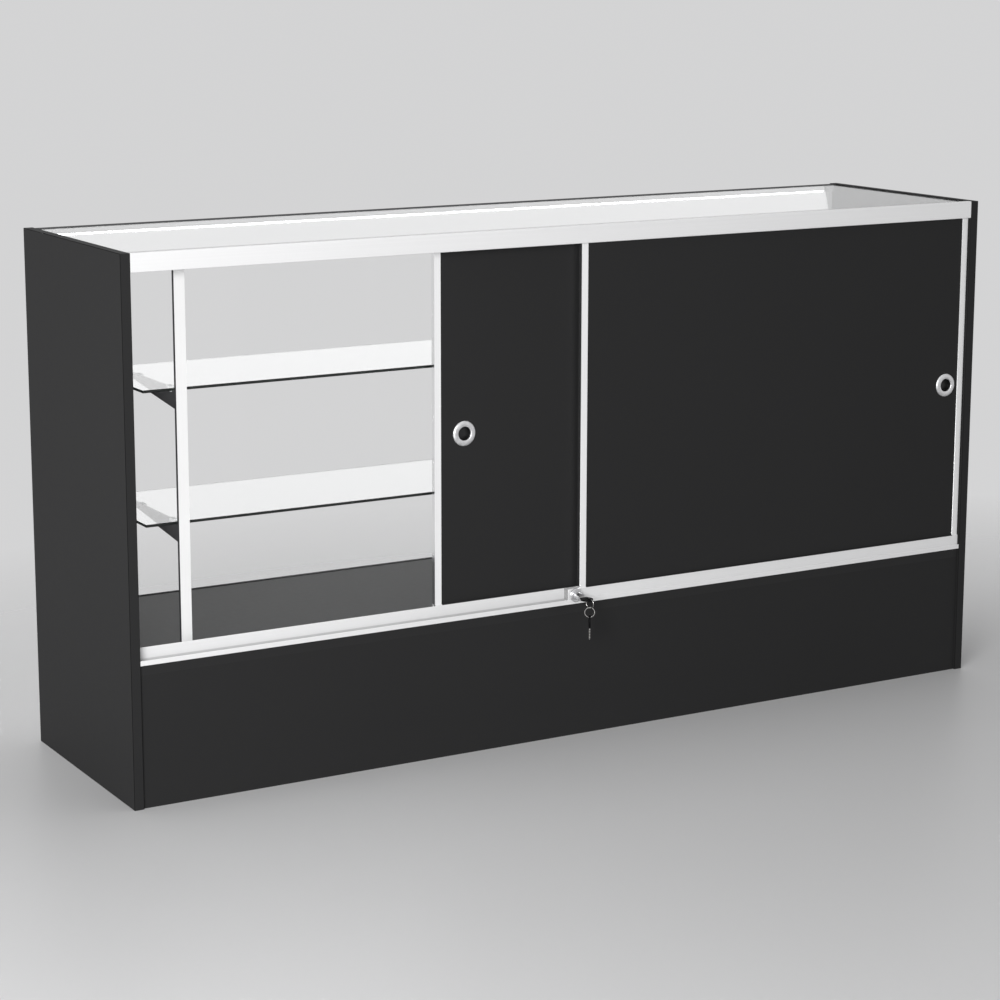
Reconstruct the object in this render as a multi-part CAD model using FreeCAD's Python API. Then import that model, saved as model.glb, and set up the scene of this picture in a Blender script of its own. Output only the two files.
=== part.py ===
import FreeCAD, Part
import math
import os

# Glass display counter, millimetres. X runs along the counter, -Y is the service side with
# the sliding doors, +Y is the customer side with the front glass, Z is up, floor at Z = 0.

os.makedirs("parts", exist_ok=True)
V = FreeCAD.Vector

# Carcass
length = 1828.0
depth = 464.0
height = 965.0
board = 18.0
board_edge = 0.8
deck_top = 256.0
kick_recess = 5.0
cleat = 20.0

# Glass
top_glass = 6.0
top_glass_drop = 2.0
top_glass_end_gap = 1.0
top_glass_rear_gap = 1.0
top_gasket = 1.0
gasket_inset = 0.5
front_glass = 5.0
front_glass_end_gap = 1.0
front_glass_top_gap = 2.0
shelf_glass = 5.0
shelf_end_gap = 38.0
shelf_depth = 270.0
shelf_rear_gap = 7.0
glass_edge = 0.6

# Front glazing channels and front top rail
channel_width = 10.0
channel_wall = 1.5
channel_floor = 2.0
channel_reach = 10.0
front_rail_width = 14.0
front_rail_height = 12.0
front_rail_web = 4.0

# Rear top rail
rail_face = 33.0
rail_face_wall = 3.5
rail_web = 3.0
rail_nose = 11.0
rail_divider = 4.0
rail_divider_drop = 20.0
rail_inner_wall = 3.5
rail_inner_drop = 18.0
rail_round = 1.5

# Bottom door track
track_setback = 1.0
track_floor = 2.0
track_lip = 1.5
track_lip_height = 8.5
track_wall = 1.5
track_wall_height = 27.5
track_inner_wall = 2.0
track_inner_height = 12.0
track_bevel = 0.7
lane = 16.5
rib_width = 2.0
rib_height = 3.0

# Door leaves
door_overlap = 22.5
leaf_thick = 10.0
panel_thick = 6.0
trim_width = 14.0
trim_web = 2.0
trim_edge = 0.6
head_height = 11.5
leaf_top_gap = 10.0
door_end_gap = 1.5
inner_door_open = 298.75
shoe_thick = 13.5
shoe_lift = 1.5
shoe_height = 24.8
shoe_slot = 8.3
shoe_groove = 10.0
shoe_groove_depth = 15.0

# Rollers
roller_tread = 5.5
roller_width = 8.0
roller_inset = 60.0
roller_ride = 0.3
axle_radius = 2.0
axle_play = 0.08

# Finger pulls
pull_height = 597.0
pull_outer = 23.25
pull_mouth = 12.8
pull_cup = 15.0
pull_depth = 8.5
pull_floor = 1.5
pull_rise = 3.5
pull_bevel = 4.0
inner_pull_inset = 62.2
outer_pull_inset = 43.3

# Lock, keys and rings
case_width = 27.0
case_back = 1.5
case_edge = 1.0
case_tongue = 20.0
lock_inset = 15.5
lock_drop = 11.7
barrel_radius = 7.5
barrel_play = 0.1
barrel_out = 25.0
barrel_in = 2.5
plug_radius = 5.6
plug_depth = 12.0
plug_play = 0.08
key_width = 8.0
key_thick = 2.2
key_in_plug = 10.0
key_neck = 5.0
key_shoulder = 15.0
key_blade_length = 23.0
bit_start = 1.5
bit_width = 1.8
bit_pitch = 3.0
bit_count = 5
bit_depth = 1.3
bow_radius = 11.5
bow_thick = 3.2
bow_length = 24.0
bow_seat = 9.0
bow_slot_wide = 12.0
bow_slot_deep = 9.0
bow_bridge = 3.0
ring_radius = 9.2
ring_wire = 0.65
ring_drop = 5.8
link_gap = 0.45
ring_upper_angle = -76.0
ring_lower_angle = -29.0

# Shelf standards and brackets
standard_width = 20.0
standard_depth = 8.0
standard_wall = 1.8
standard_inset = 103.0
standard_top_gap = 3.0
slot_width = 3.6
slot_height = 12.0
slot_pitch = 26.0
slot_start = 36.0
slot_top_clear = 24.0
lower_slot_count = 7
upper_slot_count = 16
bracket_thick = 3.0
bracket_length = 240.0
bracket_height = 35.0
bracket_tip = 7.0
bracket_bevel = 4.0
bracket_top_rise = 8.5
tab_height = 7.0
hook_drop = 3.0
hook_thick = 1.6
pad_width = 8.0
pad_length = 20.0
pad_skirt = 4.0
pad_thick = 1.5
pad_near = 30.0
pad_far = 170.0

# Light bar under the front top rail
light_width = 12.0
light_height = 11.0
light_wall = 2.0
light_end_gap = 29.0
light_cap = 2.0
light_top_gap = 0.5
light_toe = 2.0

# Points nearer than this are the same point
touch = 0.01

# Planes shared by the pieces
x_in = length / 2 - board
y_rear = -depth / 2
y_front = depth / 2
y_kick = y_rear + kick_recess
y_deck = y_front - channel_width
deck_under = deck_top - board
z_glass = height - top_glass_drop - top_glass
z_rail = z_glass - top_gasket
z_front_rail = z_rail - front_rail_height
y_front_rail = y_front - front_rail_width
y_pane = y_front - channel_width / 2
pane_gap = channel_width / 2 - channel_wall

y_track = y_rear + track_setback
y_lane_outer = y_track + track_lip
y_wall = y_lane_outer + lane
y_lane_inner = y_wall + track_wall
y_inner_wall = y_lane_inner + lane
y_standard = y_inner_wall + track_inner_wall
y_outer_door = y_lane_outer + lane / 2
y_inner_door = y_lane_inner + lane / 2
z_track = deck_top + track_floor
z_rib = z_track + rib_height
z_lip = deck_top + track_lip_height

z_shoe = z_track + shoe_lift
z_shoe_top = z_shoe + shoe_height
z_shoe_slot = z_shoe_top - shoe_slot
z_shoe_groove = z_shoe + shoe_groove_depth
z_web = z_rail - rail_web
z_leaf_top = z_web - leaf_top_gap
z_roller = z_rib + roller_ride + roller_tread
leaf_width = x_in - door_end_gap + door_overlap / 2
outer_door_left = -door_overlap / 2
inner_door_left = outer_door_left - inner_door_open

y_standard_front = y_standard + standard_depth
z_standard_top = z_glass - standard_top_gap
slot_zero = deck_top + slot_start
standard_places = (standard_inset - x_in, 0.0, x_in - standard_inset)


def box(x0, x1, y0, y1, z0, z1):
    return Part.makeBox(x1 - x0, y1 - y0, z1 - z0, V(x0, y0, z0))


def rod_y(x, z, radius, y0, y1):
    return Part.makeCylinder(radius, y1 - y0, V(x, y0, z), V(0, 1, 0))


def rod_z(x, y, radius, z0, z1):
    return Part.makeCylinder(radius, z1 - z0, V(x, y, z0), V(0, 0, 1))


def section(a0, a1, b0, b1, up=(), down=()):
    # Outline of a plate with legs above and below it; a leg is (start, end, reach), left to right.
    points = [(a0, b0)]
    for start, end, reach in down:
        points += [(start, b0), (start, reach), (end, reach), (end, b0)]
    points += [(a1, b0), (a1, b1)]
    for start, end, reach in reversed(up):
        points += [(end, b1), (end, reach), (start, reach), (start, b1)]
    points.append((a0, b1))
    corners = []
    for point in points:
        if not corners or point != corners[-1]:
            corners.append(point)
    return corners


def solid_of(loop, direction):
    return Part.Face(Part.makePolygon(loop + [loop[0]])).extrude(direction)


def along_x(points, x0, x1):
    return solid_of([V(x0, y, z) for y, z in points], V(x1 - x0, 0, 0)).removeSplitter()


def along_z(points, z0, z1):
    return solid_of([V(x, y, z0) for x, y in points], V(0, 0, z1 - z0)).removeSplitter()


def turned(points, x, y, z):
    # Revolve (radius, distance) points about an axis along +Y through x, z, starting at y.
    loop = [V(x + radius, y + reach, z) for radius, reach in points]
    return Part.Face(Part.makePolygon(loop + [loop[0]])).revolve(V(x, y, z), V(0, 1, 0), 360)


def join(shapes):
    return shapes[0].multiFuse(shapes[1:]).removeSplitter()


def eased(shape, size):
    return shape.makeChamfer(size, shape.Edges)


def corner_edges(shape, corners, axis):
    # Edges along X or Z that pass through the given corners of the section.
    picked = []
    for edge in shape.Edges:
        for corner in corners:
            ends = []
            for vertex in edge.Vertexes:
                x, y, z = vertex.Point
                ends.append((y, z) if axis == "x" else (x, y))
            if all(math.dist(end, corner) < touch for end in ends):
                picked.append(edge)
    return picked


def rounded(shape, size, corners):
    return shape.makeFillet(size, corner_edges(shape, corners, "x"))


def bevelled(shape, size, corners, axis="x"):
    return shape.makeChamfer(size, corner_edges(shape, corners, axis))


def save(name, shape):
    shape.exportStep("parts/" + name + ".step")


def carcass_boards():
    save("left_end_panel", eased(box(-length / 2, -x_in, y_rear, y_front, 0, height), board_edge))
    save("right_end_panel", eased(box(x_in, length / 2, y_rear, y_front, 0, height), board_edge))
    y0 = y_kick + board
    y1 = y_deck - board
    save("rear_kick_panel", box(-x_in, x_in, y_kick, y0, 0, deck_under))
    save("front_kick_panel", box(-x_in, x_in, y1, y_deck, 0, deck_under))
    save("centre_support", box(-board / 2, board / 2, y0, y1, 0, deck_under))
    save("deck_board", box(-x_in, x_in, y_kick, y_deck, deck_under, deck_top))
    cleats = []
    for x in (-x_in, x_in - cleat):
        cleats.append(box(x, x + cleat, y0, y1, deck_under - cleat, deck_under))
    save("deck_cleats", Part.makeCompound(cleats))


def door_track():
    half = rib_width / 2
    legs = [
        (y_track, y_lane_outer, z_lip),
        (y_outer_door - half, y_outer_door + half, z_rib),
        (y_wall, y_lane_inner, deck_top + track_wall_height),
        (y_inner_door - half, y_inner_door + half, z_rib),
        (y_inner_wall, y_standard, deck_top + track_inner_height),
    ]
    track = along_x(section(y_track, y_standard, deck_top, z_track, up=legs), -x_in, x_in)
    tops = [(y_track, z_lip), (y_lane_outer, z_lip)]
    tops += [(y_wall, deck_top + track_wall_height), (y_lane_inner, deck_top + track_wall_height)]
    return bevelled(track, track_bevel, tops)


def rear_rail():
    y_middle = (y_wall + y_lane_inner) / 2
    drops = [
        (y_rear, y_rear + rail_face_wall, height - rail_face),
        (y_middle - rail_divider / 2, y_middle + rail_divider / 2, z_web - rail_divider_drop),
        (y_standard - rail_inner_wall, y_standard, z_web - rail_inner_drop),
    ]
    nose = [(y_rear, y_rear + rail_nose, height)]
    rail = along_x(section(y_rear, y_standard, z_web, z_rail, up=nose, down=drops), -x_in, x_in)
    return rounded(rail, rail_round, [(y_rear, height), (y_rear, height - rail_face)])


def standards():
    half = standard_width / 2
    inner = half - standard_wall
    slot_room = z_standard_top - slot_top_clear - slot_height - slot_zero
    for name, x in zip(("left_standard", "centre_standard", "right_standard"), standard_places):
        tube = box(x - half, x + half, y_standard, y_standard_front, deck_top, z_standard_top)
        tube = tube.cut(box(x - inner, x + inner, y_standard + standard_wall,
                            y_standard_front - standard_wall, deck_top, z_standard_top))
        slots = []
        for step in range(int(slot_room / slot_pitch) + 1):
            z = slot_zero + step * slot_pitch
            slots.append(box(x - slot_width / 2, x + slot_width / 2, y_standard_front - standard_wall,
                             y_standard_front, z, z + slot_height))
        save(name, tube.cut(Part.makeCompound(slots)))


def make_bracket(z_slot):
    # Tapered plate in the YZ plane with one hook in each of two neighbouring slots.
    y_inside = y_standard_front - standard_wall
    y_hook = y_inside - hook_thick
    z_top = z_slot + bracket_top_rise
    y_tip = y_standard_front + bracket_length
    points = [(y_standard_front, z_top), (y_tip, z_top), (y_tip, z_top - bracket_tip)]
    points.append((y_standard_front, z_top - bracket_height))
    for z in (z_slot - slot_pitch, z_slot):
        points += [(y_standard_front, z), (y_inside, z), (y_inside, z - hook_drop), (y_hook, z - hook_drop)]
        points += [(y_hook, z + tab_height), (y_standard_front, z + tab_height)]
    plate = along_x(points, -bracket_thick / 2, bracket_thick / 2)
    return bevelled(plate, bracket_bevel, [(y_tip, z_top - bracket_tip)])


def shelves():
    pads = []
    y_shelf = y_standard_front + shelf_rear_gap
    for name, slot in (("lower", lower_slot_count), ("upper", upper_slot_count)):
        z_slot = slot_zero + slot * slot_pitch
        z_top = z_slot + bracket_top_rise
        bracket = make_bracket(z_slot)
        brackets = []
        for x in standard_places:
            placed = bracket.translated(V(x, 0, 0))
            brackets.append(placed)
            for reach in (pad_near, pad_far):
                y = y_standard_front + reach
                pad = box(x - pad_width / 2, x + pad_width / 2, y, y + pad_length,
                          z_top - pad_skirt, z_top + pad_thick)
                pads.append(pad.cut(placed))
        save(name + "_shelf_brackets", Part.makeCompound(brackets))
        z = z_top + pad_thick
        half = x_in - shelf_end_gap
        pane = box(-half, half, y_shelf, y_shelf + shelf_depth, z, z + shelf_glass)
        save(name + "_glass_shelf", eased(pane, glass_edge))
    save("shelf_pads", Part.makeCompound(pads))


def front_glazing():
    low = y_pane - pane_gap
    high = y_pane + pane_gap
    floor = deck_under + channel_floor
    walls = [(y_deck, low, deck_top), (high, y_front, deck_top)]
    save("front_bottom_channel", along_x(section(y_deck, y_front, deck_under, floor, up=walls), -x_in, x_in))
    drops = [(y_front_rail, low, z_front_rail), (high, y_front, z_front_rail)]
    rail = along_x(section(y_front_rail, y_front, z_rail - front_rail_web, z_rail, down=drops), -x_in, x_in)
    save("top_front_rail", rail)
    for name, side in (("left_front_channel", -1), ("right_front_channel", 1)):
        walls = [(y_deck, low, channel_reach), (high, y_front, channel_reach)]
        outline = section(y_deck, y_front, 0, channel_floor, up=walls)
        save(name, along_z([(side * (x_in - b), a) for a, b in outline], deck_top, z_front_rail))
    x_pane = x_in - channel_floor - front_glass_end_gap
    z_pane = z_rail - front_rail_web - front_glass_top_gap
    pane = box(-x_pane, x_pane, y_pane - front_glass / 2, y_pane + front_glass / 2, floor, z_pane)
    save("glass_front", eased(pane, glass_edge))


def glass_top():
    x_top = x_in - top_glass_end_gap
    y_top = y_rear + rail_nose + top_glass_rear_gap
    save("glass_top", eased(box(-x_top, x_top, y_top, y_front, z_glass, z_glass + top_glass), glass_edge))
    x_strip = x_top - gasket_inset
    strips = [
        box(-x_strip, x_strip, y_top + gasket_inset, y_standard - gasket_inset, z_rail, z_glass),
        box(-x_strip, x_strip, y_front_rail + gasket_inset, y_front - gasket_inset, z_rail, z_glass),
    ]
    save("top_glass_gaskets", Part.makeCompound(strips))


def light_bar():
    # Angle channel on the rail's inner face; the lens slopes down and towards the service side.
    z_top = z_rail - light_top_gap
    z_low = z_top - light_height
    z_plate = z_top - light_wall
    y_nose = y_front_rail - light_width
    y_back = y_front_rail - light_wall
    x_end = x_in - light_end_gap - light_cap
    leg = [(y_back, y_front_rail, z_low)]
    save("light_channel", along_x(section(y_nose, y_front_rail, z_plate, z_top, down=leg), -x_end, x_end))
    slope = [(y_back - light_toe, z_low), (y_nose, z_plate - light_toe)]
    lens = [(y_nose, z_plate), (y_back, z_plate), (y_back, z_low)] + slope
    save("light_diffuser", along_x(lens, -x_end, x_end))
    cap = [(y_nose, z_top), (y_front_rail, z_top), (y_front_rail, z_low)] + slope
    caps = [along_x(cap, -x_end - light_cap, -x_end), along_x(cap, x_end, x_end + light_cap)]
    save("light_end_caps", Part.makeCompound(caps))


def make_trim(x_outer, side, yc):
    # Channel closed on its outer edge and open towards the panel; side is +1 or -1 along X.
    y0 = yc - leaf_thick / 2
    y1 = yc + leaf_thick / 2
    legs = [(y0, yc - panel_thick / 2, trim_width), (yc + panel_thick / 2, y1, trim_width)]
    outline = [(x_outer + side * b, a) for a, b in section(y0, y1, 0, trim_web, up=legs)]
    trim = along_z(outline, z_shoe_top, z_leaf_top)
    return bevelled(trim, trim_edge, [(x_outer, y0), (x_outer + side * trim_width, y0)], "z")


def make_pull(name, x, yc):
    y = yc - panel_thick / 2
    rim = [(pull_mouth, 0), (pull_outer, 0), (pull_outer - pull_bevel, -pull_rise), (pull_mouth, -pull_rise)]
    save(name + "_pull_ring", turned(rim, x, y, pull_height))
    bottom = pull_depth + pull_floor
    cup = [(pull_mouth, 0), (pull_cup, 0), (pull_cup, bottom), (0, bottom), (0, pull_depth)]
    cup.append((pull_mouth, pull_depth))
    save(name + "_pull_cup", turned(cup, x, y, pull_height))


def make_roller(x, yc):
    half = roller_width / 2
    bore = axle_radius + axle_play
    rim = [(bore, -half), (roller_tread, -half), (roller_tread, half), (bore, half)]
    return turned(rim, x, yc, z_roller)


def make_door(name, x_left, yc, pull_x):
    x_right = x_left + leaf_width
    y0 = yc - leaf_thick / 2
    y1 = yc + leaf_thick / 2
    slot0 = yc - panel_thick / 2
    slot1 = yc + panel_thick / 2
    save(name + "_left_trim", make_trim(x_left, 1, yc))
    save(name + "_right_trim", make_trim(x_right, -1, yc))
    z_head = z_leaf_top - head_height
    legs = [(y0, slot0, z_head), (slot1, y1, z_head)]
    head = section(y0, y1, z_leaf_top - trim_web, z_leaf_top, down=legs)
    save(name + "_head", along_x(head, x_left + trim_width, x_right - trim_width))
    panel = box(x_left + trim_web, x_right - trim_web, slot0, slot1, z_shoe_slot, z_leaf_top - trim_web)
    save(name + "_panel", panel.cut(rod_y(pull_x, pull_height, pull_cup, y0, y1)))
    make_pull(name, pull_x, yc)
    s0 = yc - shoe_thick / 2
    s1 = yc + shoe_thick / 2
    groove0 = yc - shoe_groove / 2
    groove1 = yc + shoe_groove / 2
    above = [(s0, slot0, z_shoe_top), (slot1, s1, z_shoe_top)]
    below = [(s0, groove0, z_shoe), (groove1, s1, z_shoe)]
    outline = section(s0, s1, z_shoe_groove, z_shoe_slot, up=above, down=below)
    shoe = bevelled(along_x(outline, x_left, x_right), trim_edge, [(s0, z_shoe_top), (s0, z_shoe)])
    pieces = [shoe]
    for tag, x in (("left", x_left + roller_inset), ("right", x_right - roller_inset)):
        pieces.append(rod_y(x, z_roller, axle_radius, groove0, groove1))
        save(name + "_" + tag + "_roller", make_roller(x, yc))
    save(name + "_shoe", join(pieces))


def make_bow():
    # Key bow lying flat, neck at the origin and tip towards -Y, with its slot and blade socket.
    y_centre = bow_radius - bow_length
    half = bow_thick / 2
    disc = rod_z(0, y_centre, bow_radius, -half, half)
    neck = box(-key_shoulder / 2, key_shoulder / 2, y_centre, 0, -half, half)
    y_slot = bow_bridge - bow_length
    end = bow_slot_deep / 2
    run = bow_slot_wide / 2 - end
    slot = join([
        box(-run, run, y_slot, y_slot + bow_slot_deep, -bow_thick, bow_thick),
        rod_z(-run, y_slot + end, end, -bow_thick, bow_thick),
        rod_z(run, y_slot + end, end, -bow_thick, bow_thick),
    ])
    return join([disc, neck]).cut(slot).cut(make_blade())


def make_blade():
    # Key blade lying flat, seated in the bow behind the origin, with a point and a row of cuts.
    half = key_width / 2
    reach = key_blade_length
    points = [(-half, -bow_seat), (half, -bow_seat), (half, reach - half), (0, reach), (-half, reach - half)]
    for step in range(bit_count):
        y = reach - half - bit_start - step * bit_pitch
        points += [(-half, y), (bit_depth - half, y - bit_width / 2), (-half, y - bit_width)]
    return along_z(points, -key_thick / 2, key_thick / 2)


def lock_and_keys():
    yc = y_outer_door
    y_case = yc - shoe_thick / 2
    y_back = yc + shoe_thick / 2
    x_case = outer_door_left - case_width
    x_lock = x_case + lock_inset
    z_lock = z_shoe_top - lock_drop
    groove0 = yc - shoe_groove / 2
    groove1 = yc + shoe_groove / 2

    # Case on the free end of the right door's shoe: it straddles the rib, its tongue is in the groove
    z_arch = z_rib + shoe_lift
    legs = [(y_case, groove0, z_shoe), (groove1, y_back, z_shoe)]
    case = along_x(section(y_case, y_back, z_arch, z_shoe_top, down=legs), x_case, outer_door_left)
    case = rounded(case, case_edge, [(y_case, z_shoe_top), (y_case, z_shoe)])
    tongue = box(outer_door_left, outer_door_left + case_tongue, groove0, groove1, z_roller, z_shoe_groove)
    hole = rod_y(x_lock, z_lock, barrel_radius + barrel_play, y_case, y_back - case_back)
    save("lock_case", join([case, tongue]).cut(hole))

    # Push barrel in its sprung-out place, plug, and the key in the plug
    y_barrel = y_case - barrel_out
    socket = plug_depth + plug_play
    bore = plug_radius + plug_play
    inner_end = barrel_out + barrel_in
    sleeve = [(bore, 0), (barrel_radius, 0), (barrel_radius, inner_end), (0, inner_end)]
    sleeve += [(0, socket), (bore, socket)]
    save("lock_barrel", turned(sleeve, x_lock, y_barrel, z_lock))
    y_bow = y_barrel - key_neck
    place = V(x_lock, y_bow, z_lock)
    blade = make_blade().translated(place)
    plug = rod_y(x_lock, z_lock, plug_radius, y_barrel, y_barrel + plug_depth)
    stub = box(x_lock - key_width / 2, x_lock + key_width / 2, y_bow - bow_seat, y_barrel + key_in_plug,
               z_lock - key_thick / 2, z_lock + key_thick / 2)
    blade = blade.common(stub)
    save("lock_plug", plug.cut(blade))
    save("key_blade", blade)
    save("key_bow", make_bow().translated(place))

    # Two linked rings hang from the bow's bridge, the spare key hangs from the lower ring
    y_bridge = y_bow - bow_length + bow_bridge / 2
    z_upper = z_lock - ring_drop
    z_lower = z_upper - 2 * (ring_radius - ring_wire) + link_gap
    for name, turn, z in (("upper", ring_upper_angle, z_upper), ("lower", ring_lower_angle, z_lower)):
        angle = math.radians(turn)
        normal = V(-math.sin(angle), math.cos(angle), 0)
        side = V(x_lock, y_bridge, z) - normal * ring_wire
        hoop = Part.makeCylinder(ring_radius + ring_wire, 2 * ring_wire, side, normal)
        hole = Part.makeCylinder(ring_radius - ring_wire, 2 * ring_wire, side, normal)
        save("key_ring_" + name, hoop.cut(hole))
    z_neck = z_lower - ring_radius + ring_wire + link_gap + bow_bridge - bow_length
    for name, shape in (("spare_key_bow", make_bow()), ("spare_key_blade", make_blade())):
        shape.rotate(V(0, 0, 0), V(1, 0, 0), -90)
        shape.rotate(V(0, 0, 0), V(0, 0, 1), 90 + ring_lower_angle)
        save(name, shape.translated(V(x_lock, y_bridge, z_neck)))


carcass_boards()
save("bottom_door_track", door_track())
save("top_rear_rail", rear_rail())
standards()
shelves()
front_glazing()
glass_top()
light_bar()
make_door("left_door", inner_door_left, y_inner_door, inner_door_left + inner_pull_inset)
make_door("right_door", outer_door_left, y_outer_door, outer_door_left + leaf_width - outer_pull_inset)
lock_and_keys()
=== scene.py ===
import math

import bmesh
import bpy
from bpy.props import FloatProperty, FloatVectorProperty, IntProperty, PointerProperty
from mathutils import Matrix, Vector


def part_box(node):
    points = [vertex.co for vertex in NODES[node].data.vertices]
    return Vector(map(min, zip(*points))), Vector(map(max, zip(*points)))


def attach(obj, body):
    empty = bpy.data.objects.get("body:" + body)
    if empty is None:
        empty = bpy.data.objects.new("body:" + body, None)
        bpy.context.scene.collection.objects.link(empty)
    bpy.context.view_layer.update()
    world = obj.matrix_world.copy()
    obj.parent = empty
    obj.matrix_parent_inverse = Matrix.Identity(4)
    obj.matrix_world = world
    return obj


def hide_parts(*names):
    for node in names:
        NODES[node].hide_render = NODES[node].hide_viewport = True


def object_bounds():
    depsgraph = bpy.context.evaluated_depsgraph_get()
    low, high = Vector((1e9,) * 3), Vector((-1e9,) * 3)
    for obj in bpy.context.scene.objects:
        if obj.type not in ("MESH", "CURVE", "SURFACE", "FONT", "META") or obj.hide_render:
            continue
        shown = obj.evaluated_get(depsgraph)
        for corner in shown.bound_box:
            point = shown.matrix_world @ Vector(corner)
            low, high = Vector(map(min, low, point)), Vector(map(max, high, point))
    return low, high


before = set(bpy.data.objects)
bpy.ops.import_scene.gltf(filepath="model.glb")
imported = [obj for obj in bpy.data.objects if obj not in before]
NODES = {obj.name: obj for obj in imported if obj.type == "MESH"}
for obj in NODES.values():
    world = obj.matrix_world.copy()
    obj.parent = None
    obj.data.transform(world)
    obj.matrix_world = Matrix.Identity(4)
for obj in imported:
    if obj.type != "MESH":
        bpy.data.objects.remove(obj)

bl_info = {
    "name": "Glass display counter",
    "version": (1, 0, 0),
    "blender": (4, 5, 0),
    "location": "3D View > Sidebar > Counter",
    "description": "Finishes, small pieces and studio for a glass display counter with sliding doors",
    "category": "Object",
}

CAD_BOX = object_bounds()
DOORS = ("left_door", "right_door")
STANDARDS = ("left_standard", "centre_standard", "right_standard")

# Colours of the level extrusions (a little darker, a painted shade) and of the light bar's channel, as shares
# of the upright ones' colour
LEVEL_SHADE_SHARE = 0.94
CHANNEL_SHARE = 0.2

# Sides of the round pieces and of the floor, and the angle from which an edge is drawn sharp
PULL_SIDES = 96
COLLAR_SIDES = 72
FLOOR_SIDES = 96
SHARP_ANGLE = math.radians(40)

# What the lamps face, in metres, and the width of the camera's sensor, in millimetres
LAMP_AIM = Vector((0.0, 0.0, 0.5))
SENSOR_WIDTH = 36.0

# Places of a Mix node's sockets for colours
MIX_FACTOR = 0
MIX_FIRST = 6
MIX_SECOND = 7
MIX_RESULT = 2

# Section of a pull's rim, as shares of its width from the mouth outwards and of its rise off the door
PULL_SECTION = ((0.0, 0.0), (1.0, 0.0), (1.0, 0.08), (0.985, 0.22), (0.93, 0.46), (0.84, 0.68), (0.72, 0.86),
                (0.58, 0.96), (0.42, 1.0), (0.28, 0.98), (0.14, 0.90), (0.05, 0.76), (0.0, 0.58))
# The same for the lock's collar: a neck that passes over the track's lip, and a flange in front of it
COLLAR_SECTION = ((0.0, 0.0), (0.08, 0.0), (0.08, 0.56), (0.92, 0.56), (1.0, 0.63), (1.0, 0.80), (0.94, 0.92),
                  (0.82, 1.0), (0.34, 1.0), (0.20, 0.90), (0.0, 0.86))


def colour_property(name, description, default):
    return FloatVectorProperty(name=name, description=description, subtype="COLOR", size=3, min=0.0, max=1.0,
                               default=default)


def length_property(name, description, default):
    return FloatProperty(name=name, description=description, unit="LENGTH", subtype="DISTANCE", precision=5,
                         default=default)


def place_property(name, description, default):
    return FloatVectorProperty(name=name, description=description, subtype="TRANSLATION", default=default)


def power_property(name, description, default):
    return FloatProperty(name=name, description=description, unit="POWER", default=default)


class CounterFinishes(bpy.types.PropertyGroup):
    """Colours of the counter's materials"""

    board: colour_property("Board", "Melamine on the ends, base, deck and doors", (0.0265, 0.0265, 0.0270))
    timber: colour_property("Timber", "Planed softwood of the hidden cleats", (0.46, 0.33, 0.20))
    aluminium: colour_property("Aluminium", "Satin anodised rails, tracks and frames", (0.93, 0.93, 0.935))
    white_paint: colour_property("White paint", "Powder coat on the slotted standards", (0.84, 0.84, 0.84))
    grey_paint: colour_property("Grey paint", "Powder coat on the shelf brackets", (0.045, 0.045, 0.048))
    glass: colour_property("Glass", "Faint tint of the panes", (0.985, 0.993, 0.990))
    glass_edge: colour_property("Glass edge", "Tint along the ground edges of the panes", (0.02, 0.035, 0.03))
    rubber: colour_property("Rubber", "Pads under the shelves", (0.52, 0.54, 0.54))
    chrome: colour_property("Chrome", "Pull rings and lock", (0.80, 0.80, 0.81))
    nickel: colour_property("Nickel", "Keys, rings and screws", (0.50, 0.49, 0.475))
    black_plastic: colour_property("Black plastic", "Pull cups and key bows", (0.006, 0.006, 0.0065))
    vinyl: colour_property("Vinyl", "Gaskets and beads", (0.030, 0.030, 0.031))
    grey_vinyl: colour_property("Grey vinyl", "Edging of the glass top", (0.125, 0.125, 0.128))
    grey_plastic: colour_property("Grey plastic", "End caps of the light bar", (0.30, 0.30, 0.31))
    nylon: colour_property("Nylon", "Door rollers", (0.74, 0.72, 0.66))
    lens: colour_property("Lens", "Opal lens of the light bar", (0.95, 0.96, 1.0))
    lens_glow: FloatProperty(name="Lens glow", description="Brightness of the lit lens", min=0.0,
                             default=31.0)


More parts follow.
